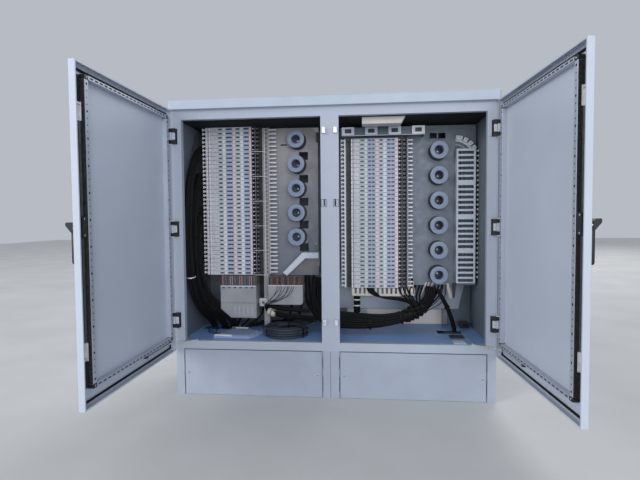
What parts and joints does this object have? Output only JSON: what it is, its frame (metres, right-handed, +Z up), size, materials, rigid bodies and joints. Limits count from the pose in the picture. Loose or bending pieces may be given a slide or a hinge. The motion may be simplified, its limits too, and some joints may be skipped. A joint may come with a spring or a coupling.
{
  "type": "roadside utility cabinet",
  "caption": "Roadside cabling cabinet on a plinth with two swing doors on stays, lock rods and swing handles, and terminal columns, guide spools and cables inside.",
  "frame": {"origin": "centre of the plinth's underside", "axes": "+X to the right as seen from the front, +Y to the rear, +Z up; the doors are on the -Y side"},
  "size_m": [1.7651, 1.3265, 1.502],
  "materials": {
    "paint": "light grey powder coat",
    "roof_plastic": "light grey, matt",
    "black_plastic": "black, matt",
    "zinc": "bright zinc",
    "seal": "black foam",
    "galvanised": "dull galvanised",
    "terminal_plastic": "white with coloured strips",
    "white_plastic": "white, semi-matt",
    "spool_plastic": "blue-grey, semi-matt",
    "cream_plastic": "cream, matt",
    "cable_black": "black jacket",
    "cable_grey": "dark grey jacket",
    "plinth": "light grey, slightly rough"
  },
  "bodies": {
    "cabinet": {"cable_coil": "cable_grey", "ceiling_box": "white_plastic", "ceiling_panel": "black_plastic", "column_carriers": "black_plastic", "floor_plate": "galvanised", "frame_hinges": "black_plastic", "guide_rings": "galvanised", "guide_spools": "spool_plastic", "hinge_pins": "zinc", "inner_liner": "paint", "left_cable_bundle": "cable_black", "left_jamb": "paint", "left_mounting_plate": "galvanised", "left_side_wall": "paint", "left_terminal_modules": "terminal_plastic", "loose_cover": "spool_plastic", "mullion": "paint", "plinth_covers": "plinth", "plinth_frames": "plinth", "rear_wall": "paint", "right_cable_bundle": "cable_grey", "right_jamb": "paint", "right_mounting_plate": "galvanised", "right_side_wall": "paint", "right_terminal_modules": "terminal_plastic", "roof_cap": "roof_plastic", "sill": "paint", "slotted_duct": "spool_plastic", "splice_boxes": "white_plastic", "stay_brackets": "zinc", "strikers": "zinc", "top_rail": "paint", "wire_combs": "white_plastic", "wire_lip": "cream_plastic", "wire_tray": "galvanised"},
    "left_door": {"left_door_skin": "paint", "left_door_tube_frame": "galvanised", "left_door_corner_pieces": "black_plastic", "left_door_seal": "seal", "left_door_knuckles": "zinc", "left_lock_case": "black_plastic", "left_handle_base": "black_plastic"},
    "left_hub": {"left_handle_hub": "zinc"},
    "left_lever": {"left_handle_lever": "black_plastic"},
    "left_upper_rod": {"left_upper_lock_rod": "zinc"},
    "left_lower_rod": {"left_lower_lock_rod": "zinc"},
    "left_stay_link": {"left_stay": "zinc"},
    "right_door": {"right_door_skin": "paint", "right_door_tube_frame": "galvanised", "right_door_corner_pieces": "black_plastic", "right_door_seal": "seal", "right_door_knuckles": "zinc", "right_lock_case": "black_plastic", "right_handle_base": "black_plastic"},
    "right_hub": {"right_handle_hub": "zinc"},
    "right_lever": {"right_handle_lever": "black_plastic"},
    "right_upper_rod": {"right_upper_lock_rod": "zinc"},
    "right_lower_rod": {"right_lower_lock_rod": "zinc"},
    "right_stay_link": {"right_stay": "zinc"}
  },
  "joints": [
    {"name": "left_door_hinge", "type": "hinge", "parent": "cabinet", "child": "left_door", "pos_m": [-0.80375, -0.2627, 0.85], "axis": [0, 0, -1], "range_deg": [-90.2, 4.8]},
    {"name": "right_door_hinge", "type": "hinge", "parent": "cabinet", "child": "right_door", "pos_m": [0.80375, -0.2627, 0.85], "axis": [0, 0, 1], "range_deg": [-94.2, 0.8]},
    {"name": "left_handle_turn", "type": "hinge", "parent": "left_door", "child": "left_hub", "pos_m": [-0.82247, -1.02639, 0.876], "axis": [1, -0.0035, 0], "range_deg": [0, 90]},
    {"name": "right_handle_turn", "type": "hinge", "parent": "right_door", "child": "right_hub", "pos_m": [0.87569, -1.02322, 0.876], "axis": [0.9973, 0.0732, 0], "range_deg": [0, 90]},
    {"name": "left_lever_lift", "type": "hinge", "parent": "left_hub", "child": "left_lever", "pos_m": [-0.83397, -1.02635, 0.876], "axis": [0.0035, 1, 0], "range_deg": [0, 50]},
    {"name": "right_lever_lift", "type": "hinge", "parent": "right_hub", "child": "right_lever", "pos_m": [0.88716, -1.02238, 0.876], "axis": [0.0732, -0.9973, 0], "range_deg": [0, 50]},
    {"name": "left_upper_rod_slide", "type": "slide", "parent": "left_door", "child": "left_upper_rod", "axis": [0, 0, 1], "range_m": [-0.01801, 0]},
    {"name": "left_lower_rod_slide", "type": "slide", "parent": "left_door", "child": "left_lower_rod", "axis": [0, 0, 1], "range_m": [0, 0.01801]},
    {"name": "right_upper_rod_slide", "type": "slide", "parent": "right_door", "child": "right_upper_rod", "axis": [0, 0, 1], "range_m": [-0.01801, 0]},
    {"name": "right_lower_rod_slide", "type": "slide", "parent": "right_door", "child": "right_lower_rod", "axis": [0, 0, 1], "range_m": [0, 0.01801]},
    {"name": "left_stay_turn", "type": "hinge", "parent": "cabinet", "child": "left_stay_link", "pos_m": [-0.693, -0.237, 0.283], "axis": [0, 0, -1], "range_deg": [-130.85, 7.25]},
    {"name": "right_stay_turn", "type": "hinge", "parent": "cabinet", "child": "right_stay_link", "pos_m": [0.693, -0.237, 0.283], "axis": [0, 0, 1], "range_deg": [-133.54, 1.43]}
  ],
  "couplings": [
    {"joint": "left_stay_turn", "follows": "left_door_hinge", "ratio": 1.4473},
    {"joint": "right_stay_turn", "follows": "right_door_hinge", "ratio": 1.4145},
    {"joint": "left_upper_rod_slide", "follows": "left_handle_turn", "m_per_rad": -0.011459},
    {"joint": "left_lower_rod_slide", "follows": "left_handle_turn", "m_per_rad": 0.011459},
    {"joint": "right_upper_rod_slide", "follows": "right_handle_turn", "m_per_rad": -0.011459},
    {"joint": "right_lower_rod_slide", "follows": "right_handle_turn", "m_per_rad": 0.011459}
  ]
}
